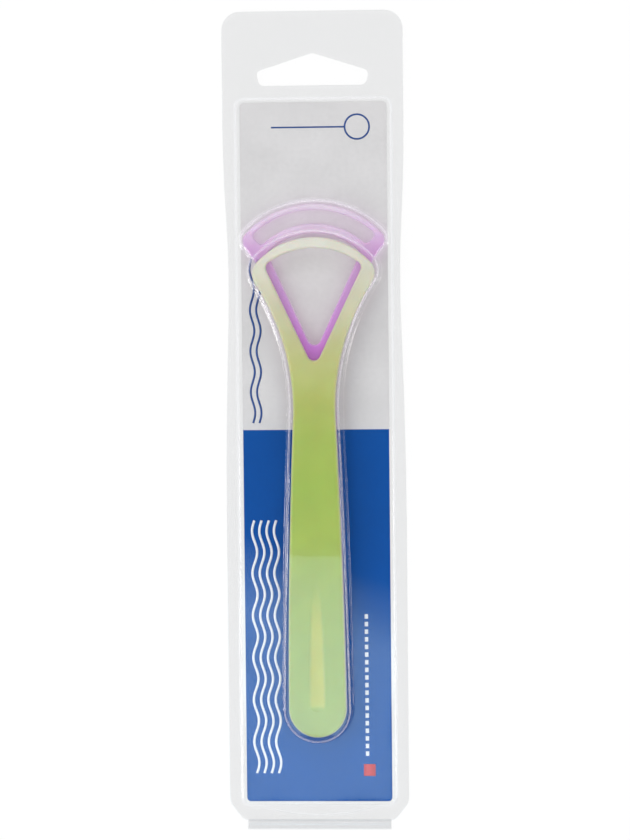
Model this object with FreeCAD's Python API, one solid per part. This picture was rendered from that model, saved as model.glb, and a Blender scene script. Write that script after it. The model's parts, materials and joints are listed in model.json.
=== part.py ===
import FreeCAD, Part
import math
import os

# Hanging pack with two nested tongue scrapers. Lengths in mm, angles in degrees.
# The pack lies on its back: X across, Y towards the hang hole, Z towards the viewer.

# Clear sheet and outline of the pack
sheet = 0.45
pack_length = 234.4
pack_width = 51.6
pack_corner_radius = 5.3
waist_depth = 1.6
waist_from_top = 73.5
waist_start_from_top = 45.0
waist_end_from_top = 122.0
waist_radius = 330.0
waist_start_radius = 440.0
waist_end_radius = 1500.0
bevel_height = 8.0
bevel_radius = 4.5
foot_width = 43.4
foot_radius = 3.0
fold_width = 41.2

# Hang hole with a sloped roof
hook_width = 32.4
hook_roof_height = 5.2
hook_side_height = 4.0
hook_floor_width = 30.2
hook_from_top = 11.9
hook_apex_radius = 1.4
hook_shoulder_radius = 1.6
hook_floor_radius = 1.8

# Printed card and the flat pockets that hold it
card_width = 42.0
card_thickness = 0.5
card_corner_radius = 1.4
card_from_top = 25.7
card_from_foot = 8.0
card_room = 0.6
pocket_corner_radius = 2.0
pocket_draft = 0.5
tray_depth = 1.2
panel_step = 0.8
flange_gap = 0.05
crescent_width = 33.0
crescent_height = 2.6

# Rolled fold that joins the two shells at the foot
fold_radius = 1.5
fold_wall = 0.3
fold_gap = 0.05

# Handle shared by both scrapers
handle_end_width = 16.5
handle_end_from_foot = 27.2
neck_width = 12.2
neck_from_top = 116.5
neck_radius = 65.5
handle_side_radius = 2250.0
handle_thickness = 3.3
handle_end_thickness = 2.4
head_thickness = 2.0
tool_bow = 2.2
tool_edge_radius = 0.75
groove_radius = 5.0
groove_depth = 0.5
groove_length = 38.0
groove_from_end = 9.3
groove_lift_share = 0.2

# Front scraper with one blade
front_head_width = 34.8
front_head_from_top = 64.2
front_head_radius = 21.9
front_corner_radius = 4.8
front_blade_width = 3.1
front_window_length = 31.9
front_window_radius = 22.2
front_window_corner_radius = 1.9
front_window_tip_radius = 1.9
front_window_angle = 25.5

# Rear scraper with two blades
rear_head_width = 40.6
rear_head_from_top = 54.8
rear_head_radius = 27.0
rear_corner_radius = 3.2
rear_blade_width = 1.6
rear_slot_height = 4.0
rear_slot_angle = 44.5
rear_slot_corner_radius = 1.4
rear_inner_blade_width = 2.7
rear_window_length = 31.7
rear_window_corner_radius = 1.9
rear_window_tip_radius = 1.9
rear_window_angle = 24.7

# Scraping lips under the blades
lip_depth = 0.8
lip_width = 0.9
front_lip_angle = 28.0
rear_lip_angle = 36.0
lip_corner_share = 0.45
lip_edge_share = 0.3

# Seats and clearances of the scrapers in the pack
seat_gap = 0.1
stack_gap = 0.3
bubble_headroom = 0.7
front_side_room = 0.85
rear_side_room = 0.45
front_travel = 0.8
rear_travel = 0.6
bubble_draft = 4.0
bubble_foot_radius = 0.4
rim_radius = 1.0
panel_rim_radius = 0.6

# A gap below this share of a size is taken as none
seam_share = 0.001

# Heights that follow from the sizes above
tray_flange_top = tray_depth + sheet
lid_flange_base = tray_flange_top + flange_gap
lid_flange_top = lid_flange_base + sheet
panel_top = lid_flange_top + panel_step
card_top = sheet + card_thickness
fold_height = tray_flange_top + flange_gap / 2
bubble_slope = math.tan(math.radians(bubble_draft))

# Places along the pack that follow from the sizes above
top_y = pack_length / 2
foot_y = -top_y
card_top_y = top_y - card_from_top
card_foot_y = foot_y + card_from_foot
tool_end_y = foot_y + handle_end_from_foot
neck_y = top_y - neck_from_top
end_radius = handle_end_width / 2
end_centre_y = tool_end_y + end_radius
fold_y = foot_y + fold_radius
flange_end_y = fold_y + fold_radius - fold_wall


def point(x, y, z):
    return FreeCAD.Vector(x, y, z)


def turned(degrees):
    # Unit vector that leans from straight across by an angle, towards the foot
    return (math.cos(math.radians(degrees)), -math.sin(math.radians(degrees)))


def step(start, direction, length):
    return (start[0] + direction[0] * length, start[1] + direction[1] * length)


def unit(dx, dy):
    size = math.hypot(dx, dy)
    return (dx / size, dy / size)


def toward(a, b):
    return unit(b[0] - a[0], b[1] - a[1])


def back(way):
    return (-way[0], -way[1])


def dot(a, b):
    return a[0] * b[0] + a[1] * b[1]


def meeting(first, first_reach, second, second_reach):
    # Point at two distances from two centres, right of the way from first to second
    way = toward(first, second)
    span = math.hypot(second[0] - first[0], second[1] - first[1])
    along = (first_reach**2 - second_reach**2 + span**2) / (span * 2)
    away = math.sqrt(first_reach**2 - along**2)
    return step(step(first, way, along), (way[1], -way[0]), away)


def round_piece(centre, radius, first, last):
    # Arc as start, middle and end, between two unit directions from its centre
    middle = unit(first[0] + last[0], first[1] + last[1])
    return tuple(step(centre, way, radius) for way in (first, middle, last))


def mirrored(path):
    return [tuple((-x, y) for x, y in reversed(piece)) for piece in reversed(path)]


def wire(path, height):
    edges = []
    for piece in path:
        points = [point(x, y, height) for x, y in piece]
        if len(points) == len(("start", "middle", "end")):
            edges.append(Part.Arc(*points).toShape())
        else:
            edges.append(Part.makeLine(*points))
    return Part.Wire(edges)


def prism(path, base, top):
    return Part.Face(wire(path, base)).extrude(point(0, 0, top - base))


def drafted(base_path, base, top_path, top):
    return Part.makeLoft([wire(base_path, base), wire(top_path, top)], True, True)


def rounded_polygon(corners, grow):
    # Corners are x, y and radius, clockwise. Every side moves out by the growth.
    count = len(corners)
    sides = []
    for i in range(count):
        ax, ay, _ = corners[i]
        bx, by, _ = corners[(i + 1) % count]
        along = unit(bx - ax, by - ay)
        out = (-along[1], along[0])
        sides.append((along, out, dot(out, (ax, ay)) + grow))
    rounds = []
    for i in range(count):
        along_a, out_a, reach_a = sides[i - 1]
        along_b, out_b, reach_b = sides[i]
        cross = out_a[0] * out_b[1] - out_a[1] * out_b[0]
        bulge = 1 if cross < 0 else -1
        radius = corners[i][2] + bulge * grow
        da = reach_a - bulge * radius
        db = reach_b - bulge * radius
        centre = (
            (da * out_b[1] - db * out_a[1]) / cross,
            (out_a[0] * db - out_b[0] * da) / cross,
        )
        first = (bulge * out_a[0], bulge * out_a[1])
        last = (bulge * out_b[0], bulge * out_b[1])
        rounds.append(round_piece(centre, radius, first, last))
    path = []
    for i in range(count):
        path.append(rounds[i])
        path.append((rounds[i][-1], rounds[(i + 1) % count][0]))
    return path


def both_sides(corners):
    return corners + [(-x, y, r) for x, y, r in reversed(corners)]


def pocket_path(grow):
    # Outline of the card pocket, wide enough for the card and for the bubble's foot
    rise = rear_roof[-1] + bubble_headroom - panel_top
    reach = rear_head_width / 2 + rear_side_room + rise * bubble_slope
    reach = reach + bubble_foot_radius + panel_rim_radius
    across = max(card_width / 2 + card_room, reach)
    corners = [
        (across, card_top_y + card_room, pocket_corner_radius),
        (across, card_foot_y - card_room, pocket_corner_radius),
    ]
    return rounded_polygon(both_sides(corners), grow)


def flange_path():
    half = pack_width / 2
    corners = [
        (half, top_y, pack_corner_radius),
        (half, top_y - waist_start_from_top, waist_start_radius),
        (half - waist_depth, top_y - waist_from_top, waist_radius),
        (half, top_y - waist_end_from_top, waist_end_radius),
        (half, foot_y + bevel_height, bevel_radius),
        (foot_width / 2, flange_end_y, foot_radius),
    ]
    return rounded_polygon(both_sides(corners), 0)


def hook_path():
    roof = top_y - hook_from_top
    shoulder = roof - hook_roof_height
    floor = shoulder - hook_side_height
    side = [
        (hook_width / 2, shoulder, hook_shoulder_radius),
        (hook_floor_width / 2, floor, hook_floor_radius),
    ]
    corners = [(0, roof, hook_apex_radius)] + both_sides(side)
    return rounded_polygon(corners, 0)


front_tool = {
    "head_y": top_y - front_head_from_top,
    "head_radius": front_head_radius,
    "head_width": front_head_width,
    "corner_radius": front_corner_radius,
}
rear_tool = {
    "head_y": top_y - rear_head_from_top,
    "head_radius": rear_head_radius,
    "head_width": rear_head_width,
    "corner_radius": rear_corner_radius,
}


def head_centre(tool):
    return (0, tool["head_y"] - tool["head_radius"])


def tool_path(tool, grow):
    # Outer outline of a scraper: blade arc, head corners, legs with neck, handle and end
    radius = tool["corner_radius"]
    top = head_centre(tool)
    corner_x = tool["head_width"] / 2 - radius
    corner_reach = tool["head_radius"] - radius
    corner = (corner_x, top[1] + math.sqrt(corner_reach**2 - corner_x**2))
    end = (0, end_centre_y)
    # Handle side: a wide arc that holds the end circle inside and passes the neck
    waist = (neck_width / 2, neck_y)
    side = meeting(waist, handle_side_radius, end, handle_side_radius - end_radius)
    # Leg and neck: one arc that touches the handle side and the head corner from outside
    neck = meeting(
        side, handle_side_radius + neck_radius, corner, radius + neck_radius
    )
    shoulder = toward(top, corner)
    leg_way = toward(corner, neck)
    neck_way = toward(side, neck)
    corner_arc = round_piece(corner, radius + grow, shoulder, leg_way)
    neck_arc = round_piece(neck, neck_radius - grow, back(leg_way), back(neck_way))
    side_arc = round_piece(side, handle_side_radius + grow, neck_way, toward(side, end))
    right = [corner_arc, neck_arc, side_arc]
    head_right = corner_arc[0]
    head_arc = ((-head_right[0], head_right[1]), (0, tool["head_y"] + grow), head_right)
    end_right = side_arc[-1]
    end_low = (0, end_centre_y - end_radius - grow)
    end_arc = (end_right, end_low, (-end_right[0], end_right[1]))
    return [head_arc] + right + [end_arc] + mirrored(right)


def window_path(roof_y, roof_radius, length, corner, tip, angle):
    # Arched window between the legs, coming down to a rounded tip
    top = (0, roof_y - roof_radius)
    low = (0, roof_y - length + tip)
    lean = turned(angle)
    up = (-lean[1], lean[0])
    start = step(low, lean, tip - corner)
    gap = (start[0] - top[0], start[1] - top[1])
    reach = roof_radius - corner
    along = dot(gap, up)
    travel = -along + math.sqrt(along**2 - dot(gap, gap) + reach**2)
    corner_centre = step(start, up, travel)
    roof_way = toward(top, corner_centre)
    corner_arc = round_piece(corner_centre, corner, roof_way, lean)
    roof_right = corner_arc[0]
    roof_left = (-roof_right[0], roof_right[1])
    tip_right = step(low, lean, tip)
    tip_left = (-tip_right[0], tip_right[1])
    right = [corner_arc, (corner_arc[-1], tip_right)]
    roof = (roof_left, (0, roof_y), roof_right)
    tip_arc = (tip_right, (0, roof_y - length), tip_left)
    return [roof] + right + [tip_arc] + mirrored(right)


def arched_band(centre, inner, outer, angle, corner):
    # Band between two arcs about one centre, with rounded corners at both ends
    end = (math.sin(math.radians(angle)), math.cos(math.radians(angle)))
    end_out = (end[1], -end[0])
    outer_turn = math.radians(angle) - math.asin(corner / (outer - corner))
    inner_turn = math.radians(angle) - math.asin(corner / (inner + corner))
    outer_way = (math.sin(outer_turn), math.cos(outer_turn))
    inner_way = (math.sin(inner_turn), math.cos(inner_turn))
    inner_back = (-inner_way[0], -inner_way[1])
    outer_arc = round_piece(
        step(centre, outer_way, outer - corner), corner, outer_way, end_out
    )
    inner_arc = round_piece(
        step(centre, inner_way, inner + corner), corner, end_out, inner_back
    )
    right = [outer_arc, (outer_arc[-1], inner_arc[0]), inner_arc]
    start = outer_arc[0]
    finish = inner_arc[-1]
    roof = ((-start[0], start[1]), (0, centre[1] + outer), start)
    floor = (finish, (0, centre[1] + inner), (-finish[0], finish[1]))
    return [roof] + right + [floor] + mirrored(right)


# Side curve of the scrapers: heights over the card at the end, the middle and the head
curve_ys = (tool_end_y, (tool_end_y + rear_tool["head_y"]) / 2, rear_tool["head_y"])
rear_base = (
    card_top + seat_gap,
    card_top + seat_gap + tool_bow,
    card_top + seat_gap + lip_depth,
)
tool_depths = (handle_end_thickness, handle_thickness, head_thickness)
rear_roof = tuple(z + d for z, d in zip(rear_base, tool_depths))
front_base = tuple(z + stack_gap for z in rear_roof)
front_roof = tuple(z + d for z, d in zip(front_base, tool_depths))


def bow_circle(heights):
    points = [point(0, y, z) for y, z in zip(curve_ys, heights)]
    return Part.Arc(*points).toShape().Curve


def bow_disc(heights):
    # Lying disc whose crown is the bowed face through three heights
    bow = bow_circle(heights)
    start = bow.Center + point(-pack_width, 0, 0)
    return Part.makeCylinder(bow.Radius, pack_width * 2, start, point(1, 0, 0))


def bow_height(heights, y):
    bow = bow_circle(heights)
    return bow.Center.z + math.sqrt(bow.Radius**2 - (y - bow.Center.y) ** 2)


def raised(heights, lift):
    return tuple(z + lift for z in heights)


def upright(edge):
    ends = [vertex.Point for vertex in edge.Vertexes]
    flat = [math.hypot(end.x - ends[0].x, end.y - ends[0].y) for end in ends]
    return len(ends) > 1 and max(flat) < tool_edge_radius * seam_share


def bowed_plate(path, base, roof):
    slab = bow_disc(roof).cut(bow_disc(base))
    return prism(path, 0, pack_width).common(slab).Solids[0]


def lip(centre, radius, angle, base):
    # Scraping lip under a blade, with its lower edges rounded
    half = lip_width / 2
    path = arched_band(
        centre, radius - half, radius + half, angle, lip_width * lip_corner_share
    )
    low = raised(base, -lip_depth)
    body = bowed_plate(path, low, raised(base, tool_edge_radius))
    middle = body.CenterOfMass.z
    edges = [
        e for e in body.Edges if not upright(e) and e.CenterOfMass.z < middle
    ]
    return body.makeFillet(lip_width * lip_edge_share, edges)


def groove(roof):
    # Shallow drop-shaped thumb groove, deepest at the handle's end
    low_y = tool_end_y + groove_from_end
    high_y = low_y + groove_length
    low_z = bow_height(roof, low_y) + groove_radius - groove_depth
    high_z = bow_height(roof, high_y) + groove_radius + groove_depth * groove_lift_share
    start = point(0, low_y, low_z)
    way = point(0, high_y, high_z) - start
    run = Part.makeCylinder(groove_radius, way.Length, start, way)
    ball = Part.makeSphere(groove_radius, start)
    return run.fuse(ball)


def scraper(tool, openings, base, roof, lips):
    plate = bowed_plate(tool_path(tool, 0), base, roof)
    for path in openings:
        plate = plate.cut(prism(path, 0, pack_width))
    rims = [edge for edge in plate.Edges if not upright(edge)]
    plate = plate.makeFillet(tool_edge_radius, rims)
    plate = plate.cut(groove(roof))
    for body in lips:
        plate = plate.fuse(body)
    return plate.removeSplitter()


def bubble(tool, room, room_height, roof, inset):
    # Drafted dome that follows a scraper's outline, under a bowed roof
    low = lid_flange_base
    high = max(roof) + bubble_headroom + sheet + rim_radius
    wall = room + sheet - inset
    dome = drafted(
        tool_path(tool, wall + (room_height - low) * bubble_slope),
        low,
        tool_path(tool, wall + (room_height - high) * bubble_slope),
        high,
    )
    heights = raised(roof, bubble_headroom + sheet - inset)
    dome = dome.common(bow_disc(heights))
    crown = max(dome.Faces, key=lambda face: face.CenterOfMass.z)
    return dome.makeFillet(rim_radius - inset, crown.Edges)


def pocket(base, floor, inset):
    # Drafted block over the card, from the flange to the pocket's floor
    block = drafted(
        pocket_path(pocket_draft + sheet - inset), base, pocket_path(sheet - inset), floor
    )
    rim = [e for e in block.Edges if abs(e.CenterOfMass.z - floor) < sheet * seam_share]
    return block.makeFillet(panel_rim_radius - inset, rim)


def crescent(base, roof, inset):
    # Lens below the card panel that a thumb can catch
    chord = crescent_width / 2
    radius = (chord**2 + crescent_height**2) / (crescent_height * 2)
    edge_y = card_foot_y - card_room
    centre_y = edge_y - crescent_height + radius
    wall = radius + sheet - inset
    disc = Part.makeCone(
        wall + pocket_draft, wall, roof - base, point(0, centre_y, base)
    )
    rim = [e for e in disc.Edges if abs(e.CenterOfMass.z - roof) < sheet * seam_share]
    disc = disc.makeFillet(panel_rim_radius - inset, rim)
    keep = Part.makeBox(
        card_width,
        pack_width,
        pack_width,
        point(-card_width / 2, edge_y + card_room - pack_width, base),
    )
    return disc.common(keep)


def lid_form(inset):
    roof = panel_top - inset
    high_front = dict(front_tool, head_y=front_tool["head_y"] + front_travel)
    high_rear = dict(rear_tool, head_y=rear_tool["head_y"] + rear_travel)
    front_level = max(front_roof)
    rear_level = rear_roof[-1] + bubble_headroom
    form = pocket(lid_flange_base, roof, inset)
    form = form.fuse(crescent(lid_flange_base, roof, inset))
    form = form.fuse(bubble(high_rear, rear_side_room, rear_level, rear_roof, inset))
    form = form.fuse(bubble(high_front, front_side_room, front_level, front_roof, inset))
    low_y = tool_end_y - end_radius
    high_y = rear_tool["head_y"] + end_radius
    feet = []
    for edge in form.Edges:
        level = max(abs(v.Point.z - roof) for v in edge.Vertexes) < sheet * seam_share
        near = all(low_y < v.Point.y < high_y for v in edge.Vertexes)
        if level and near:
            feet.append(edge)
    return form.makeFillet(bubble_foot_radius + inset, feet)


def front_shell():
    plate = prism(flange_path(), lid_flange_base, lid_flange_top)
    shell = plate.fuse(lid_form(0)).cut(lid_form(sheet))
    return shell.cut(prism(hook_path(), 0, pack_width)).removeSplitter()


def back_shell():
    plate = prism(flange_path(), tray_depth, tray_flange_top)
    shell = plate.fuse(pocket(tray_flange_top, 0, 0)).cut(
        pocket(tray_flange_top, sheet, sheet)
    )
    return shell.cut(prism(hook_path(), 0, pack_width)).removeSplitter()


def living_hinge():
    # Rolled fold with a slit that takes the foot of both flanges
    start = point(-fold_width / 2, fold_y, fold_height)
    across = point(1, 0, 0)
    roll = Part.makeCylinder(fold_radius, fold_width, start, across)
    bore = Part.makeCylinder(fold_radius - fold_wall, fold_width, start, across)
    slit_half = sheet + flange_gap / 2 + fold_gap
    slit = Part.makeBox(
        fold_width, fold_radius, slit_half * 2, start + point(0, 0, -slit_half)
    )
    return roll.cut(bore).cut(slit)


def card_insert():
    corners = [
        (card_width / 2, card_top_y, card_corner_radius),
        (card_width / 2, card_foot_y, card_corner_radius),
    ]
    return prism(rounded_polygon(both_sides(corners), 0), sheet, card_top)


def front_scraper():
    centre = head_centre(front_tool)
    window = window_path(
        front_tool["head_y"] - front_blade_width,
        front_window_radius,
        front_window_length,
        front_window_corner_radius,
        front_window_tip_radius,
        front_window_angle,
    )
    blade = lip(
        centre, front_head_radius - front_blade_width / 2, front_lip_angle, front_base
    )
    return scraper(front_tool, [window], front_base, front_roof, [blade])


def rear_scraper():
    centre = head_centre(rear_tool)
    slot_outer = rear_head_radius - rear_blade_width
    slot_inner = slot_outer - rear_slot_height
    window_radius = slot_inner - rear_inner_blade_width
    slot = arched_band(
        centre, slot_inner, slot_outer, rear_slot_angle, rear_slot_corner_radius
    )
    window = window_path(
        centre[1] + window_radius,
        window_radius,
        rear_window_length,
        rear_window_corner_radius,
        rear_window_tip_radius,
        rear_window_angle,
    )
    blades = [
        lip(centre, rear_head_radius - rear_blade_width / 2, rear_lip_angle, rear_base),
        lip(centre, slot_inner - rear_inner_blade_width / 2, rear_lip_angle, rear_base),
    ]
    return scraper(rear_tool, [slot, window], rear_base, rear_roof, blades)


nodes = {
    "back_shell": back_shell,
    "front_shell": front_shell,
    "living_hinge": living_hinge,
    "card_insert": card_insert,
    "rear_scraper": rear_scraper,
    "front_scraper": front_scraper,
}
os.makedirs("parts", exist_ok=True)
for name, make in nodes.items():
    shape = make()
    shape.exportStep("parts/" + name + ".step")
    print(name, "valid" if shape.isValid() else "not valid", len(shape.Solids), "solid")
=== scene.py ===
import json
import math
import bpy
from mathutils import Matrix, Vector


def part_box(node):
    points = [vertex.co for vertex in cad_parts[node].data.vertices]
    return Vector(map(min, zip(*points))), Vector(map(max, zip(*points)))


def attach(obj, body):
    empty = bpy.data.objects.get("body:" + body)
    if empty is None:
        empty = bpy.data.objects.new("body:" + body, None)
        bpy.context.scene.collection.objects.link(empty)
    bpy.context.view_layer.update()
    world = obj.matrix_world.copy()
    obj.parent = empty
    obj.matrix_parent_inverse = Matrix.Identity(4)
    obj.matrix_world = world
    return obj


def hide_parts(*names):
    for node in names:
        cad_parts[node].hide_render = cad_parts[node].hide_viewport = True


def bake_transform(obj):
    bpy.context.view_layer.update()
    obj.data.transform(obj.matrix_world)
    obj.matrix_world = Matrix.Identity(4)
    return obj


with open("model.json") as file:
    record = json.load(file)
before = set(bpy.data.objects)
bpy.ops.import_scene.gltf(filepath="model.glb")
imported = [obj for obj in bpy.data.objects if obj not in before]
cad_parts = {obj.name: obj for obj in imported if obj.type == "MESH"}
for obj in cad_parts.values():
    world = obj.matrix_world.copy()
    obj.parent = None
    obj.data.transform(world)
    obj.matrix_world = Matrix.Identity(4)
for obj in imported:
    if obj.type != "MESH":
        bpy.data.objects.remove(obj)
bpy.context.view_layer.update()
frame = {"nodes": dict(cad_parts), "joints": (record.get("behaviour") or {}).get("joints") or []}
scene = bpy.context.scene
scene.view_settings.view_transform = "Standard"
mm = 0.001
white = (1.0, 1.0, 1.0, 1.0)
noiseSpan = (0.3, 0.7)   # a noise texture stays between these nearly everywhere
print("frame loaded with", len(frame["nodes"]), "nodes")


def linear(red, green, blue):
    # colour picked in steps of 0 to 255, as scene colour (the sRGB curve)
    def channel(value):
        value = value / 255
        return value / 12.92 if value <= 0.04045 else ((value + 0.055) / 1.055) ** 2.4
    return (channel(red), channel(green), channel(blue), 1.0)


def feed(tree, socket, value):
    # a socket takes a fixed value or a link from another socket
    if isinstance(value, bpy.types.NodeSocket):
        tree.links.new(value, socket)
    else:
        socket.default_value = value


def add(tree, kind, inputs=None, **settings):
    # one node; its settings come first because they can change its sockets
    node = tree.nodes.new(kind)
    for key, value in settings.items():
        setattr(node, key, value)
    for key, value in (inputs or {}).items():
        feed(tree, node.inputs[key], value)
    return node


def calc(tree, operation, first, second=0.0, third=0.0, clamp=False):
    values = {0: first, 1: second, 2: third}
    return add(tree, "ShaderNodeMath", values, operation=operation, use_clamp=clamp).outputs[0]


def remap(tree, value, low, high, start=0.0, end=1.0, **settings):
    # low to high becomes start to end, level beyond them
    limits = {"Value": value, 1: low, 2: high, 3: start, 4: end}
    return add(tree, "ShaderNodeMapRange", limits, **settings).outputs[0]


def between(tree, value, low, high, blur):
    # mask that is 1 from low to high, with soft ends
    up = remap(tree, value, low - blur, low + blur)
    down = remap(tree, value, high - blur, high + blur)
    return calc(tree, "SUBTRACT", up, down, clamp=True)


def split(tree, vector):
    return add(tree, "ShaderNodeSeparateXYZ", {0: vector}).outputs


def levelness(tree, coords):
    # 1 on faces that lie level, 0 on faces that stand on edge
    return calc(tree, "ABSOLUTE", split(tree, coords["Normal"])[2])


def noise(tree, place, scale, detail):
    return add(tree, "ShaderNodeTexNoise", {"Vector": place, "Scale": scale, "Detail": detail}).outputs[0]


def drawnNoise(tree, place, fineness, detail, turn=0.0):
    # noise pulled out along the axis of least fineness
    laid = add(tree, "ShaderNodeMapping", {"Vector": place, "Rotation": (0, 0, turn), "Scale": fineness})
    return noise(tree, laid.outputs[0], 1.0, detail)


def mixColour(tree, share, first, second, blend="MIX"):
    node = add(tree, "ShaderNodeMix", data_type="RGBA", blend_type=blend)
    sockets = {socket.identifier: socket for socket in node.inputs}
    feed(tree, sockets["Factor_Float"], share)
    feed(tree, sockets["A_Color"], first)
    feed(tree, sockets["B_Color"], second)
    return next(s for s in node.outputs if s.identifier == "Result_Color")


def shaded(tree, colour, factor):
    return mixColour(tree, 1.0, colour, factor, "MULTIPLY")


def mixShader(tree, share, first, second):
    return add(tree, "ShaderNodeMixShader", {0: share, 1: first.outputs[0], 2: second.outputs[0]})


def ramp(tree, share, stops):
    node = add(tree, "ShaderNodeValToRGB", {"Fac": share})
    points = node.color_ramp.elements
    while len(points) < len(stops):
        points.new(stops[len(points) - 1][0])
    for point, (place, colour) in zip(points, stops):
        point.position = place
        point.color = colour
    return node.outputs["Color"]


def newMaterial(name):
    material = bpy.data.materials.new(name)
    material.use_nodes = True
    material.node_tree.nodes.clear()
    return material, material.node_tree


def closeMaterial(tree, shader):
    add(tree, "ShaderNodeOutputMaterial", {"Surface": shader.outputs[0]})


def newGroup(name, inputs, outputs):
    group = bpy.data.node_groups.new(name, "ShaderNodeTree")
    for label, kind in inputs:
        group.interface.new_socket(label, in_out="INPUT", socket_type="NodeSocket" + kind)
    for label, kind in outputs:
        group.interface.new_socket(label, in_out="OUTPUT", socket_type="NodeSocket" + kind)
    return group, group.nodes.new("NodeGroupInput").outputs, group.nodes.new("NodeGroupOutput").inputs


def useGroup(tree, group, inputs):
    return add(tree, "ShaderNodeGroup", inputs, node_tree=group).outputs


scuffs = {
    "hairs": ((0.5, (260, 9, 260)), (-0.9, (9, 210, 210))),   # turn and fineness of each set of hairlines
    "hairShows": (0.66, 0.76),                                # noise where a hairline begins and is full
    "cloud": 55.0,
}


def scuffGroup(look):
    # handling marks: short hairlines in two directions and a soft cloud
    group, given, put = newGroup(
        "handlingMarks",
        (("Vector", "Vector"), ("Lines", "Float"), ("Clouds", "Float")),
        (("Mask", "Float"),),
    )
    masks = []
    for turn, fineness in look["hairs"]:
        hair = drawnNoise(group, given["Vector"], fineness, detail=2.0, turn=turn)
        masks.append(remap(group, hair, *look["hairShows"]))
    lines = calc(group, "MULTIPLY", calc(group, "MAXIMUM", *masks), given["Lines"])
    cloud = noise(group, given["Vector"], look["cloud"], detail=4.0)
    clouds = calc(group, "MULTIPLY", cloud, given["Clouds"])
    feed(group, put["Mask"], calc(group, "ADD", lines, clouds, clamp=True))
    return group


ripples = {
    "wave": 42.0,
    "streak": (150, 14, 150),
    "streakShare": 0.25,
    "peel": 520.0,
}


def rippleGroup(look):
    # unevenness left in sheet by forming: long waves, drawn streaks and a faint orange peel
    group, given, put = newGroup(
        "formedRipple",
        (("Vector", "Vector"), ("Peel", "Float")),
        (("Height", "Float"),),
    )
    wave = noise(group, given["Vector"], look["wave"], detail=1.0)
    streak = drawnNoise(group, given["Vector"], look["streak"], detail=2.0)
    peel = noise(group, given["Vector"], look["peel"], detail=1.0)
    fine = calc(group, "MULTIPLY", peel, given["Peel"])
    long = calc(group, "MULTIPLY_ADD", streak, look["streakShare"], wave)
    feed(group, put["Height"], calc(group, "ADD", long, fine))
    return group


grains = {
    "spark": 3800.0,
    "flow": (420, 26, 420),
    "cloud": 130.0,
}


def mouldGroup(look):
    # moulded plastic: fine spark grain, flow lines along the tool and slow clouding of the colour
    group, given, put = newGroup(
        "mouldedGrain",
        (("Vector", "Vector"), ("Grain", "Float"), ("Flow", "Float")),
        (("Height", "Float"), ("Cloud", "Float")),
    )
    spark = noise(group, given["Vector"], look["spark"], detail=2.0)
    flow = drawnNoise(group, given["Vector"], look["flow"], detail=3.0)
    low = calc(group, "MULTIPLY", spark, given["Grain"])
    high = calc(group, "MULTIPLY", flow, given["Flow"])
    feed(group, put["Height"], calc(group, "ADD", low, high))
    feed(group, put["Cloud"], noise(group, given["Vector"], look["cloud"], detail=3.0))
    return group


handlingMarks = scuffGroup(scuffs)
formedRipple = rippleGroup(ripples)
mouldedGrain = mouldGroup(grains)
print("shared shader groups ready")

clearSheet = {
    "facing": (0.994, 0.995, 0.996, 1.0),   # share of light through one face, seen square on
    "edgeOn": (0.90, 0.915, 0.93, 1.0),     # the same along the sheet
    "tintPower": 3.0,                       # how late the one turns into the other
    "gloss": 0.04,                          # share mirrored, seen square on
    "glossPower": 5.0,                      # how late it grows to a full mirror
    "roughness": 0.045,
    "lines": 0.5,                           # handling marks
    "clouds": 0.25,
    "dulling": 0.10,                        # roughness that the marks add
    "ripple": 0.1 * mm,
    "peel": 0.02,
    "bent": (0.93, 0.99),                   # levelness of a clear bend and of flat sheet
    "calm": 0.2,                            # share of the ripple that a bend keeps
    "panelTop": 2.95 * mm,                  # height of the flat panel over the card
    "crownFrom": 3.9 * mm,                  # bends above this belong to the bubble's crown
    "dullFoot": 0.6,                        # loss of shine where the bubble's foot was drawn thin
    "footGap": 0.08 * mm,                   # between the panel and that foot
    "footBlur": 0.06 * mm,
    "haze": 0.30,                           # whitening where the sheet was bent and stretched
    "hazeRise": 0.5 * mm,                   # height in which it comes in above the foot
    "rimHaze": 0.10,                        # the same at the shallow step round the card
    "rimRise": 0.1 * mm,
    "hazeBand": (0.58, 0.86),               # levelness of the slopes that whiten
    "hazeBlur": 0.08,
    # colour of the whitening; its lilac tint is painted violet light from the purple tool
    "whiteningAndVioletLight": (0.92, 0.86, 0.95, 1.0),
    "specks": 1500.0,                       # fineness of the specks in the whitening
    "speckSpan": (0.35, 0.65),
    "speckLevels": (0.55, 1.35),
}


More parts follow.
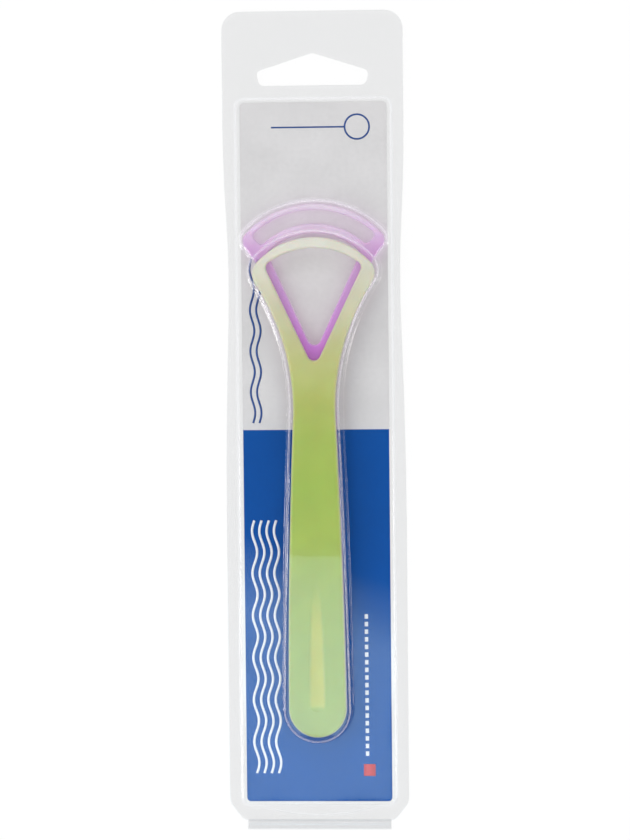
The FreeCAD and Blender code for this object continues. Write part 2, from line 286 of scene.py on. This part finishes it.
def sheetMaterial(name, look):
    material, tree = newMaterial(name)
    coords = add(tree, "ShaderNodeTexCoord").outputs
    place = coords["Object"]
    height = split(tree, place)[2]
    level = levelness(tree, coords)
    ripple = useGroup(tree, formedRipple, {"Vector": place, "Peel": look["peel"]})["Height"]
    calm = remap(tree, level, *look["bent"], look["calm"])
    bump = add(tree, "ShaderNodeBump", {"Strength": calm, "Distance": look["ripple"], "Height": ripple})
    handled = {"Vector": place, "Lines": look["lines"], "Clouds": look["clouds"]}
    marks = useGroup(tree, handlingMarks, handled)["Mask"]
    rough = calc(tree, "MULTIPLY_ADD", marks, look["dulling"], look["roughness"])
    # clear film whose gloss and tint grow with the slant of the view
    slant = add(tree, "ShaderNodeLayerWeight", {"Normal": bump.outputs[0]}).outputs["Facing"]
    edge = calc(tree, "POWER", slant, look["glossPower"])
    mirror = calc(tree, "MULTIPLY_ADD", edge, 1 - look["gloss"], look["gloss"])
    foot = between(tree, height, look["panelTop"] + look["footGap"], look["crownFrom"], look["footBlur"])
    keen = calc(tree, "MULTIPLY_ADD", foot, -look["dullFoot"], 1.0)
    tint = calc(tree, "POWER", slant, look["tintPower"])
    through = mixColour(tree, tint, look["facing"], look["edgeOn"])
    clear = add(tree, "ShaderNodeBsdfTransparent", {"Color": through})
    shine = add(tree, "ShaderNodeBsdfGlossy", {
        "Color": white, "Roughness": rough, "Normal": bump.outputs[0],
    })
    film = mixShader(tree, calc(tree, "MULTIPLY", mirror, keen), clear, shine)
    # whitened bends, tinted with painted violet light, broken up into fine specks; the sharp foot of the
    # bubble stays clear
    crown = remap(tree, height, look["crownFrom"], look["crownFrom"] + look["hazeRise"], end=look["haze"])
    step = remap(tree, height, look["panelTop"], look["panelTop"] - look["rimRise"], end=look["rimHaze"])
    grit = noise(tree, place, look["specks"], detail=2.0)
    specks = remap(tree, grit, *look["speckSpan"], *look["speckLevels"])
    whitening = calc(tree, "MULTIPLY", calc(tree, "MAXIMUM", crown, step), specks)
    bend = between(tree, level, *look["hazeBand"], look["hazeBlur"])
    whiteningAndVioletLight = add(tree, "ShaderNodeBsdfDiffuse", {"Color": look["whiteningAndVioletLight"]})
    closeMaterial(tree, mixShader(tree, calc(tree, "MULTIPLY", bend, whitening), film, whiteningAndVioletLight))
    return material


cardLow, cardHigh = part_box("card_insert")
cardPrint = {
    "skin": 0.02 * mm,              # depth in which a face shows its own colour
    "skinEnd": 0.06 * mm,           # and below which the cut edge shows
    "blueFrom": -2.0 * mm,          # where the blue field begins
    "border": 0.08 * mm,
    "blur": 0.02 * mm,              # softness of the print's edges
    "pale": linear(219, 217, 217),
    "blue": linear(4, 79, 158),
    "edge": linear(240, 240, 238),
    "reverse": linear(206, 203, 196),
    "fibre": 900.0,                 # fineness of the paper, the uneven ink and the bare reverse
    "uneven": 60.0,
    "bare": 420.0,
    "fibreShade": (0.97, 1.03),     # darkest and lightest of each
    "unevenShade": (0.955, 1.03),
    "bareShade": (0.9, 1.04),
    "roughness": (0.34, 0.52),
    "specular": 0.12,
    "bump": 0.35,
    "bumpDepth": 0.02 * mm,
}


def cardMaterial(look):
    material, tree = newMaterial("printedCard")
    place = add(tree, "ShaderNodeTexCoord").outputs["Object"]
    x, y, z = split(tree, place)
    across = between(tree, x, cardLow.x + look["border"], cardHigh.x - look["border"], look["blur"])
    along = between(tree, y, cardLow.y + look["border"], look["blueFrom"], look["blur"])
    field = mixColour(tree, calc(tree, "MULTIPLY", across, along), look["pale"], look["blue"])
    fibre = noise(tree, place, look["fibre"], detail=5.0)
    uneven = noise(tree, place, look["uneven"], detail=2.0)
    bare = noise(tree, place, look["bare"], detail=6.0)
    unevenShade = remap(tree, uneven, *noiseSpan, *look["unevenShade"])
    fibreShade = remap(tree, fibre, *noiseSpan, *look["fibreShade"])
    printed = shaded(tree, field, calc(tree, "MULTIPLY", unevenShade, fibreShade))
    reverse = shaded(tree, look["reverse"], remap(tree, bare, *noiseSpan, *look["bareShade"]))
    front = remap(tree, z, cardHigh.z - look["skinEnd"], cardHigh.z - look["skin"])
    back = remap(tree, z, cardLow.z + look["skinEnd"], cardLow.z + look["skin"])
    board = mixColour(tree, back, look["edge"], reverse)
    bump = add(tree, "ShaderNodeBump", {
        "Strength": look["bump"], "Distance": look["bumpDepth"], "Height": fibre,
    })
    body = add(tree, "ShaderNodeBsdfPrincipled", {
        "Base Color": mixColour(tree, front, board, printed),
        "Roughness": remap(tree, fibre, 0.0, 1.0, *look["roughness"]),
        "Normal": bump.outputs[0],
        "Specular IOR Level": look["specular"],
    })
    closeMaterial(tree, body)
    return material


# the green tool's tones carry painted light: paler towards the thin head for the light from the white card
# behind it, greyer at the handle's end for a painted reflection
greenTool = {
    "tonesWithPaintedLight": (                              # from the handle's end to the head, painted light included
        (0.00, linear(164, 187, 108)),
        (0.30, linear(170, 191, 103)),
        (0.40, linear(175, 198, 95)),
        (0.50, linear(170, 196, 92)),
        (0.60, linear(178, 198, 98)),
        (0.68, linear(188, 198, 110)),
        (0.76, linear(200, 204, 138)),
        (0.86, linear(212, 211, 180)),
        (0.95, linear(228, 227, 211)),
        (1.00, linear(231, 231, 221)),
    ),
    "thumb": linear(204, 204, 108),         # painted highlight along the thumb groove, where the plastic is also thinner
    "rim": linear(232, 232, 212),           # painted highlight on rounded edges, where the plastic is thin
    "clear": 0.10,                          # share of light that goes straight through
    "veil": linear(226, 228, 190),          # and its colour after each face
    "arch": 0.0,                            # drop of the tones away from the middle, per metre
    "scatter": 0.35,                        # share of light that wanders inside
    "glow": 0.15,                           # share of light that gets through to what lies behind
    "roughness": 0.34,
}
purpleTool = {
    # painted light in these tones: paler at the thin head for the light from the card behind it, and lifted
    # in the legs and the V, which lie in shade
    "tonesWithPaintedLight": (
        (0.00, linear(204, 128, 216)),
        (0.60, linear(206, 122, 226)),
        (0.73, linear(226, 134, 244)),
        (0.82, linear(216, 161, 231)),
        (0.89, linear(223, 181, 229)),
        (0.94, linear(250, 234, 254)),
        (1.00, linear(255, 253, 255)),
    ),
    # painted highlight along the thumb groove, as on the green tool
    "thumb": linear(204, 134, 218),
    # painted highlight on rounded edges, as on the green tool
    "rim": linear(254, 244, 255),
    "clear": 0.40,
    "veil": linear(253, 232, 254),
    "arch": 11.0,
    "scatter": 0.10,
    "glow": 0.85,
    "roughness": 0.34,
}
moulding = {                                # what both tools share
    "wander": 5 * mm,                       # drift of the tones along the tool
    "grain": 0.35,
    "flow": 0.65,
    "clouding": (0.95, 1.04),               # darkest and lightest clouds in the colour
    "rimBand": (0.97, 0.3),                 # levelness where the painted edge highlight starts and is full
    "rimShare": 0.6,
    "lines": 0.4,                           # handling marks, and the roughness that they add
    "clouds": 0.3,
    "dulling": 0.2,
    "bump": 0.3,
    "bumpDepth": 0.02 * mm,
    "scatterDepth": 2.0 * mm,
    "refraction": 1.49,
}
groove = {                                  # drop-shaped painted highlight under the thumb, narrow towards the neck
    "from": -81.2 * mm,
    "to": -46.0 * mm,
    "half": 2.1 * mm,
    "tip": 0.05 * mm,                       # half width at the narrow end
    "taper": 0.3,
    "sideEdge": (1.2, 0.7),                 # soft edge, in shares of the half width
    "endBlur": 0.6 * mm,
    "fullFrom": 0.35,                       # share of the length in which the tone comes in
    "share": 0.75,
}


def toolMaterial(name, node, look):
    material, tree = newMaterial(name)
    low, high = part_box(node)
    coords = add(tree, "ShaderNodeTexCoord").outputs
    place = coords["Object"]
    x, y = split(tree, place)[:2]
    grain = useGroup(tree, mouldedGrain, {
        "Vector": place, "Grain": moulding["grain"], "Flow": moulding["flow"],
    })
    # tones along the tool, painted light included, drifting with the clouds
    arch = calc(tree, "MULTIPLY", calc(tree, "MULTIPLY", x, x), look["arch"])
    drift = calc(tree, "MULTIPLY_ADD", grain["Cloud"], moulding["wander"], calc(tree, "SUBTRACT", y, arch))
    middle = moulding["wander"] / 2
    toneWithPaintedLight = ramp(tree, remap(tree, drift, low.y + middle, high.y + middle), look["tonesWithPaintedLight"])
    # painted highlight along the thumb groove
    left = remap(tree, y, groove["to"], groove["from"])
    widening = calc(tree, "POWER", left, groove["taper"])
    reach = calc(tree, "MULTIPLY_ADD", widening, groove["half"], groove["tip"])
    side = calc(tree, "DIVIDE", calc(tree, "ABSOLUTE", x), reach)
    inside = remap(tree, side, *groove["sideEdge"])
    drop = calc(tree, "MULTIPLY", inside, between(tree, y, groove["from"], groove["to"], groove["endBlur"]))
    deep = remap(tree, left, 0.0, groove["fullFrom"], end=groove["share"])
    colour = mixColour(tree, calc(tree, "MULTIPLY", drop, deep), toneWithPaintedLight, look["thumb"])
    colour = shaded(tree, colour, remap(tree, grain["Cloud"], *noiseSpan, *moulding["clouding"]))
    # painted highlight: rounded edges are painted lighter, standing in for the shine on them and the light
    # that the thin plastic there lets through
    rim = remap(tree, levelness(tree, coords), *moulding["rimBand"], end=moulding["rimShare"])
    colour = mixColour(tree, rim, colour, look["rim"])
    handled = {"Vector": place, "Lines": moulding["lines"], "Clouds": moulding["clouds"]}
    marks = useGroup(tree, handlingMarks, handled)["Mask"]
    bump = add(tree, "ShaderNodeBump", {
        "Strength": moulding["bump"], "Distance": moulding["bumpDepth"], "Height": grain["Height"],
    })
    body = add(tree, "ShaderNodeBsdfPrincipled", {
        "Base Color": colour,
        "Roughness": calc(tree, "MULTIPLY_ADD", marks, moulding["dulling"], look["roughness"]),
        "Normal": bump.outputs[0],
        "Subsurface Weight": look["scatter"],
        "Subsurface Scale": moulding["scatterDepth"],
        "IOR": moulding["refraction"],
    })
    # a ray that leaves the plastic passes whole; going in, light for what lies behind passes more
    # than the view does
    ghost = add(tree, "ShaderNodeBsdfTransparent", {"Color": look["veil"]})
    leaving = add(tree, "ShaderNodeNewGeometry").outputs["Backfacing"]
    ray = add(tree, "ShaderNodeLightPath").outputs
    lighting = calc(tree, "MAXIMUM", ray["Is Shadow Ray"], ray["Is Diffuse Ray"])
    passing = calc(tree, "MAXIMUM", calc(tree, "MULTIPLY", lighting, look["glow"]), look["clear"])
    closeMaterial(tree, mixShader(tree, calc(tree, "MAXIMUM", leaving, passing), body, ghost))
    return material


nodeLooks = {
    "front_shell": sheetMaterial("clearSheet", clearSheet),
    "card_insert": cardMaterial(cardPrint),
    "rear_scraper": toolMaterial("purplePlastic", "rear_scraper", purpleTool),
    "front_scraper": toolMaterial("greenPlastic", "front_scraper", greenTool),
}
nodeLooks["back_shell"] = nodeLooks["front_shell"]
for node, material in nodeLooks.items():
    mesh = frame["nodes"][node].data
    mesh.materials.clear()
    mesh.materials.append(material)
print("materials set on", len(nodeLooks), "nodes")


def newTree(name, inputs):
    # geometry tree with named inputs
    tree = bpy.data.node_groups.new(name, "GeometryNodeTree")
    tree.interface.new_socket("Geometry", in_out="INPUT", socket_type="NodeSocketGeometry")
    for label, kind in inputs:
        tree.interface.new_socket(label, in_out="INPUT", socket_type="NodeSocket" + kind)
    tree.interface.new_socket("Geometry", in_out="OUTPUT", socket_type="NodeSocketGeometry")
    return tree, tree.nodes.new("NodeGroupInput").outputs


def closeTree(tree, given, shape):
    real = add(tree, "GeometryNodeRealizeInstances", {"Geometry": shape})
    dressed = add(tree, "GeometryNodeSetMaterial", {
        "Geometry": real.outputs[0], "Material": given["Material"],
    })
    add(tree, "NodeGroupOutput", {0: dressed.outputs[0]})
    return tree


def growPiece(name, mesh, tree, values):
    # runs a geometry tree on a mesh and keeps the result as a plain mesh object
    seed = bpy.data.objects.new(name + "Seed", mesh)
    scene.collection.objects.link(seed)
    modifier = seed.modifiers.new("grow", "NODES")
    modifier.node_group = tree
    for item in tree.interface.items_tree:
        if item.in_out == "INPUT" and item.name in values:
            modifier[item.identifier] = values[item.name]
    bpy.context.view_layer.update()
    shape = bpy.data.meshes.new_from_object(seed.evaluated_get(bpy.context.evaluated_depsgraph_get()))
    seed.modifiers.remove(modifier)
    bpy.data.objects.remove(seed)
    shape.name = name
    piece = bpy.data.objects.new(name, shape)
    scene.collection.objects.link(piece)
    return piece


fold = {
    "wall": 0.3 * mm,
    "slit": math.radians(24),  # half of the gap that takes the flanges
    "steps": 64,
    "endFace": 0.5,            # faces that look further along the fold than this stay flat
}
foldSheet = dict(
    clearSheet,
    facing=(0.935, 0.937, 0.94, 1.0),
    roughness=0.16,
    ripple=0.2 * mm,
    peel=0.06,
    haze=0.0,
    rimHaze=0.0,
)


def rolledFoldTree():
    tree, given = newTree("rolledFold", (
        ("Radius", "Float"), ("Wall", "Float"), ("Width", "Float"),
        ("Slit", "Float"), ("Centre", "Vector"), ("Material", "Material"),
    ))
    sweep = calc(tree, "MULTIPLY_ADD", given["Slit"], -2.0, 2 * math.pi)   # a full turn less the gap
    arc = add(tree, "GeometryNodeCurveArc", {
        "Resolution": fold["steps"], "Radius": given["Radius"],
        "Start Angle": given["Slit"], "Sweep Angle": sweep,
    })
    strip = add(tree, "GeometryNodeCurvePrimitiveQuadrilateral", {
        "Width": given["Wall"], "Height": given["Width"],
    })
    roll = add(tree, "GeometryNodeCurveToMesh", {
        "Curve": arc.outputs["Curve"], "Profile Curve": strip.outputs[0], "Fill Caps": True,
    })
    turn = Matrix(((0, 0, 1), (1, 0, 0), (0, 1, 0))).to_euler()   # lays the roll along X
    laid = add(tree, "GeometryNodeTransform", {
        "Geometry": roll.outputs[0], "Rotation": turn, "Translation": given["Centre"],
    })
    return closeTree(tree, given, laid.outputs[0])


hingeLow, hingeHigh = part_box("living_hinge")
hinge = next(j for j in frame["joints"] if j["name"] == "lid_hinge")
axis = Vector(hinge["pos_m"])
outside = Vector((0, 0, hingeHigh.z - axis.z))   # from the axis to the outside of the roll
foldPiece = growPiece("foldRoll", bpy.data.meshes.new("foldSeed"), rolledFoldTree(), {
    "Radius": outside.z - fold["wall"] / 2,
    "Wall": fold["wall"],
    "Width": hingeHigh.x - hingeLow.x,
    "Slit": fold["slit"],
    "Centre": axis,
    "Material": sheetMaterial("foldSheet", foldSheet),
})
for polygon in foldPiece.data.polygons:
    polygon.use_smooth = abs(polygon.normal.x) < fold["endFace"]
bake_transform(foldPiece)
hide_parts("living_hinge")
print("fold made,", len(foldPiece.data.polygons), "faces")

ink = {
    "thickness": 0.03 * mm,
    "lift": 0.004 * mm,          # clear of the card's face
    "grit": 1400.0,
    "gritShade": (0.93, 1.04),
    "roughness": (0.34, 0.5),
    "bump": 0.2,
    "bumpDepth": 0.01 * mm,
    "colours": {
        "inkBlue": linear(30, 72, 140),
        "inkWhite": linear(238, 240, 244),
        "inkRed": linear(206, 48, 52),
    },
}


def inkMaterial(name, colour):
    material, tree = newMaterial(name)
    place = add(tree, "ShaderNodeTexCoord").outputs["Object"]
    grit = noise(tree, place, ink["grit"], detail=3.0)
    bump = add(tree, "ShaderNodeBump", {
        "Strength": ink["bump"], "Distance": ink["bumpDepth"], "Height": grit,
    })
    body = add(tree, "ShaderNodeBsdfPrincipled", {
        "Base Color": shaded(tree, colour, remap(tree, grit, *noiseSpan, *ink["gritShade"])),
        "Roughness": remap(tree, grit, 0.0, 1.0, *ink["roughness"]),
        "Normal": bump.outputs[0],
    })
    closeMaterial(tree, body)
    return material


def ringRun(x, y, radius, count=72):
    turns = [2 * math.pi * i / count for i in range(count)]
    return [(x + radius * math.cos(turn), y + radius * math.sin(turn)) for turn in turns]


def waveRun(x, low, high, swing, waves, count=120):
    turns = [2 * math.pi * waves * i / count for i in range(count + 1)]
    return [(x + swing * math.sin(turn), low + (high - low) * i / count) for i, turn in enumerate(turns)]


def dashRuns(x, low, step, long, count):
    return [[(x, low + step * i), (x, low + step * i + long)] for i in range(count)]


# strokes on the card: each run is a list of points, and all sizes here are in mm
inkStrokes = {
    "signRing": {
        "ink": "inkBlue", "width": 0.5, "closed": True,
        "runs": [ringRun(12.5, 84.3, radius=3.5)],
    },
    "signLine": {
        "ink": "inkBlue", "width": 0.45, "closed": False,
        "runs": [[(8.8, 84.3), (-12.0, 84.3)]],
    },
    "paleWaves": {
        "ink": "inkBlue", "width": 0.6, "closed": False,
        "runs": [waveRun(x, 0.0, 47.0, swing=0.6, waves=4) for x in (-18.0, -16.2)],
    },
    "blueWaves": {
        "ink": "inkWhite", "width": 0.7, "closed": False,
        "runs": [waveRun(x, -101.0, -28.0, swing=0.7, waves=6) for x in (-18.0, -15.9, -13.8, -11.7)],
    },
    "dashLine": {
        "ink": "inkWhite", "width": 1.0, "closed": False,
        "runs": dashRuns(13.9, -96.0, step=2.2, long=1.3, count=19),
    },
    "redPatch": {
        "ink": "inkRed", "width": 3.4, "closed": False,
        "runs": [[(14.5, -101.8), (14.5, -98.4)]],
    },
}


def inkStrokeTree():
    tree, given = newTree("inkStroke", (
        ("Width", "Float"), ("Thickness", "Float"), ("Material", "Material"),
    ))
    path = add(tree, "GeometryNodeMeshToCurve", {"Mesh": given["Geometry"]})
    nib = add(tree, "GeometryNodeCurvePrimitiveQuadrilateral", {
        "Width": given["Width"], "Height": given["Thickness"],
    })
    stroke = add(tree, "GeometryNodeCurveToMesh", {
        "Curve": path.outputs[0], "Profile Curve": nib.outputs[0], "Fill Caps": True,
    })
    return closeTree(tree, given, stroke.outputs[0])


inkMaterials = {name: inkMaterial(name, colour) for name, colour in ink["colours"].items()}
strokeTree = inkStrokeTree()
strokeHeight = cardHigh.z + ink["lift"] + ink["thickness"] / 2
for name, look in inkStrokes.items():
    points, edges = [], []
    for run in look["runs"]:
        first = len(points)
        points += [(x * mm, y * mm, strokeHeight) for x, y in run]
        edges += [(i, i + 1) for i in range(first, len(points) - 1)]
        if look["closed"]:
            edges.append((len(points) - 1, first))
    line = bpy.data.meshes.new(name + "Line")
    line.from_pydata(points, edges, [])
    piece = growPiece(name, line, strokeTree, {
        "Width": look["width"] * mm, "Thickness": ink["thickness"], "Material": inkMaterials[look["ink"]],
    })
    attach(piece, "back")
print("card print made,", len(inkStrokes), "pieces")

dome = {
    "side": 0.76,
    "overhead": 0.03,          # dark above, so that flat sheet shows what lies under it
    "brightFrom": 0.920,       # height on the unit dome where the side's light begins to fade
    "darkTo": 0.970,
    "colour": (0.98, 0.99, 1.0, 1.0),
}
# glow of the low panel: soft and leaning over its width, but crisp on the strip over the handle
panelFade = {
    "lean": 0.2,
    "from": 1.024,             # shares of the panel's length where the glow begins and is full
    "to": 0.74,
    "strip": (0.27, 0.71),     # shares of its width
    "stripBlur": 0.02,
    "stripFrom": 0.87,
    "stripTo": 0.45,
    "stripLevel": 0.6,         # glow at the crisp end
}
lamps = {                      # places and sizes in metres; aimed lamps look at the middle of the part
    "panel": {
        "place": (-0.006, -0.0849, 0.110), "size": (0.048, 0.0852),
        "watts": 0.0256, "colour": (0.57, 0.77, 0.89), "aim": False, "fade": panelFade,
    },
    "key": {
        "place": (-0.55, 0.42, 0.72), "size": (0.45, 0.45),
        "watts": 0.6, "colour": (1.0, 0.99, 0.97), "aim": True,
    },
    "fill": {
        "place": (0.0, 0.0, 0.80), "size": (0.55, 0.55),
        "watts": 1.25, "colour": (1, 1, 1), "aim": False, "mirrored": False,
    },
    "leftStrip": {
        "place": (-0.62, -0.20, 0.60), "size": (0.08, 1.20),
        "watts": 2.2, "colour": (1, 1, 1), "aim": True,
    },
    "rightStrip": {
        "place": (0.66, -0.20, 0.60), "size": (0.08, 1.20),
        "watts": 1.1, "colour": (1, 1, 1), "aim": True,
    },
    "topStrip": {
        "place": (0.0, 0.70, 0.60), "size": (0.60, 0.14),
        "watts": 0.8, "colour": (1, 1, 1), "aim": True,
    },
}
floorSheet = {
    "half": 1.8,
    "below": 0.15 * mm,
    "paper": (0.92, 0.92, 0.92, 1.0),
    "whiteShare": 0.9,         # plain white where it is seen, the rest keeps the shadow
}


def worldDome(look):
    world = bpy.data.worlds.new("studioDome")
    scene.world = world
    world.use_nodes = True
    tree = world.node_tree
    tree.nodes.clear()
    way = add(tree, "ShaderNodeTexCoord").outputs["Generated"]
    height = split(tree, way)[2]
    level = remap(tree, height, look["brightFrom"], look["darkTo"], look["side"], look["overhead"],
                  interpolation_type="SMOOTHSTEP")
    sky = add(tree, "ShaderNodeBackground", {"Color": look["colour"], "Strength": level})
    add(tree, "ShaderNodeOutputWorld", {"Surface": sky.outputs[0]})


def shapeGlow(lamp, fade):
    lamp.use_nodes = True
    tree = lamp.node_tree
    tree.nodes.clear()
    spot = add(tree, "ShaderNodeNewGeometry").outputs["Parametric"]
    across, along = split(tree, spot)[:2]
    lean = calc(tree, "MULTIPLY_ADD", across, fade["lean"], along)
    soft = remap(tree, lean, fade["from"], fade["to"])
    rise = remap(tree, along, fade["stripFrom"], fade["stripTo"], start=fade["stripLevel"])
    crisp = calc(tree, "MULTIPLY", rise, calc(tree, "LESS_THAN", along, fade["stripFrom"]))
    strip = between(tree, across, *fade["strip"], fade["stripBlur"])
    level = calc(tree, "MULTIPLY_ADD", strip, calc(tree, "SUBTRACT", crisp, soft), soft)
    glow = add(tree, "ShaderNodeEmission", {"Color": white, "Strength": level})
    add(tree, "ShaderNodeOutputLight", {"Surface": glow.outputs[0]})


def softbox(name, look):
    lamp = bpy.data.lights.new(name, "AREA")
    lamp.shape = "RECTANGLE"
    lamp.size, lamp.size_y = look["size"]
    lamp.energy = look["watts"]
    lamp.color = look["colour"]
    if "fade" in look:
        shapeGlow(lamp, look["fade"])
    holder = bpy.data.objects.new(name, lamp)
    holder.location = look["place"]
    if look["aim"]:
        holder.rotation_euler = (-Vector(look["place"])).to_track_quat("-Z", "Y").to_euler()
    holder.visible_camera = False
    holder.visible_glossy = look.get("mirrored", True)
    scene.collection.objects.link(holder)


def whiteFloor(look):
    half, height = look["half"], -look["below"]
    corners = [(x * half, y * half, height) for x, y in ((-1, -1), (1, -1), (1, 1), (-1, 1))]
    mesh = bpy.data.meshes.new("floor")
    mesh.from_pydata(corners, [], [(0, 1, 2, 3)])
    floor = bpy.data.objects.new("floor", mesh)
    scene.collection.objects.link(floor)
    material, tree = newMaterial("whiteFloor")
    path = add(tree, "ShaderNodeLightPath").outputs
    seen = calc(tree, "MAXIMUM", path["Is Camera Ray"], path["Is Glossy Ray"])
    seen = calc(tree, "MAXIMUM", seen, path["Is Transmission Ray"])
    paper = add(tree, "ShaderNodeBsdfDiffuse", {"Color": look["paper"]})
    plain = add(tree, "ShaderNodeEmission", {"Color": white, "Strength": 1.0})
    closeMaterial(tree, mixShader(tree, calc(tree, "MULTIPLY", seen, look["whiteShare"]), paper, plain))
    mesh.materials.append(material)


worldDome(dome)
for name, look in lamps.items():
    softbox(name, look)
whiteFloor(floorSheet)
print("studio ready with", len(lamps), "lamps")

viewpoint = {
    "place": (0.05079, 0.0430, 0.87049),
    "turn": (-2.81, 3.332, -0.581),   # degrees
    "lens": 130.581,
    "sensor": 36.0,
}
eye = bpy.data.cameras.new("camera")
eye.lens = viewpoint["lens"]
eye.sensor_width = viewpoint["sensor"]
holder = bpy.data.objects.new("camera", eye)
holder.location = viewpoint["place"]
holder.rotation_euler = [math.radians(angle) for angle in viewpoint["turn"]]
scene.collection.objects.link(holder)
scene.camera = holder
print("camera set")
